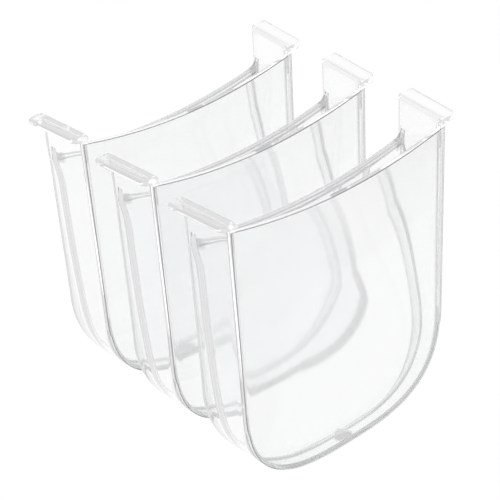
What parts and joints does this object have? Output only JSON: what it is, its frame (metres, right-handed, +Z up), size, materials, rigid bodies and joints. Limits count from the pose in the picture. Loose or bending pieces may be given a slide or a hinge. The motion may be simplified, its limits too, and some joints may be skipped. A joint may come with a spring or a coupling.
{
  "type": "hanging chip rack pockets",
  "caption": "Row of clear moulded U-shaped pockets with ear flanges that hang between two rails, each with a flat front window and a curved back wall.",
  "frame": {"origin": "middle of the width and of the row, on the plane of the ear flanges' undersides, where the rails carry them", "axes": "+Z up; X along the width of a pocket; +Y from the front window towards the back wall; -Y faces the front"},
  "size_m": [0.1146, 0.109, 0.122],
  "materials": {
    "clear_shell": "clear moulded, polished, faint flow lines and fine scratches",
    "clear_window": "clear flat sheet, polished"
  },
  "bodies": {
    "middle_pocket": {"middle_pocket_body": "clear_shell", "middle_pocket_window": "clear_window"},
    "front_pocket": {"front_pocket_body": "clear_shell", "front_pocket_window": "clear_window"},
    "rear_pocket": {"rear_pocket_body": "clear_shell", "rear_pocket_window": "clear_window"}
  },
  "joints": [
    {"name": "front_pocket_lift", "type": "slide", "parent": "middle_pocket", "child": "front_pocket", "axis": [0, 0, 1], "range_m": [0, 0.125]},
    {"name": "rear_pocket_lift", "type": "slide", "parent": "middle_pocket", "child": "rear_pocket", "axis": [0, 0, 1], "range_m": [0, 0.125]}
  ]
}
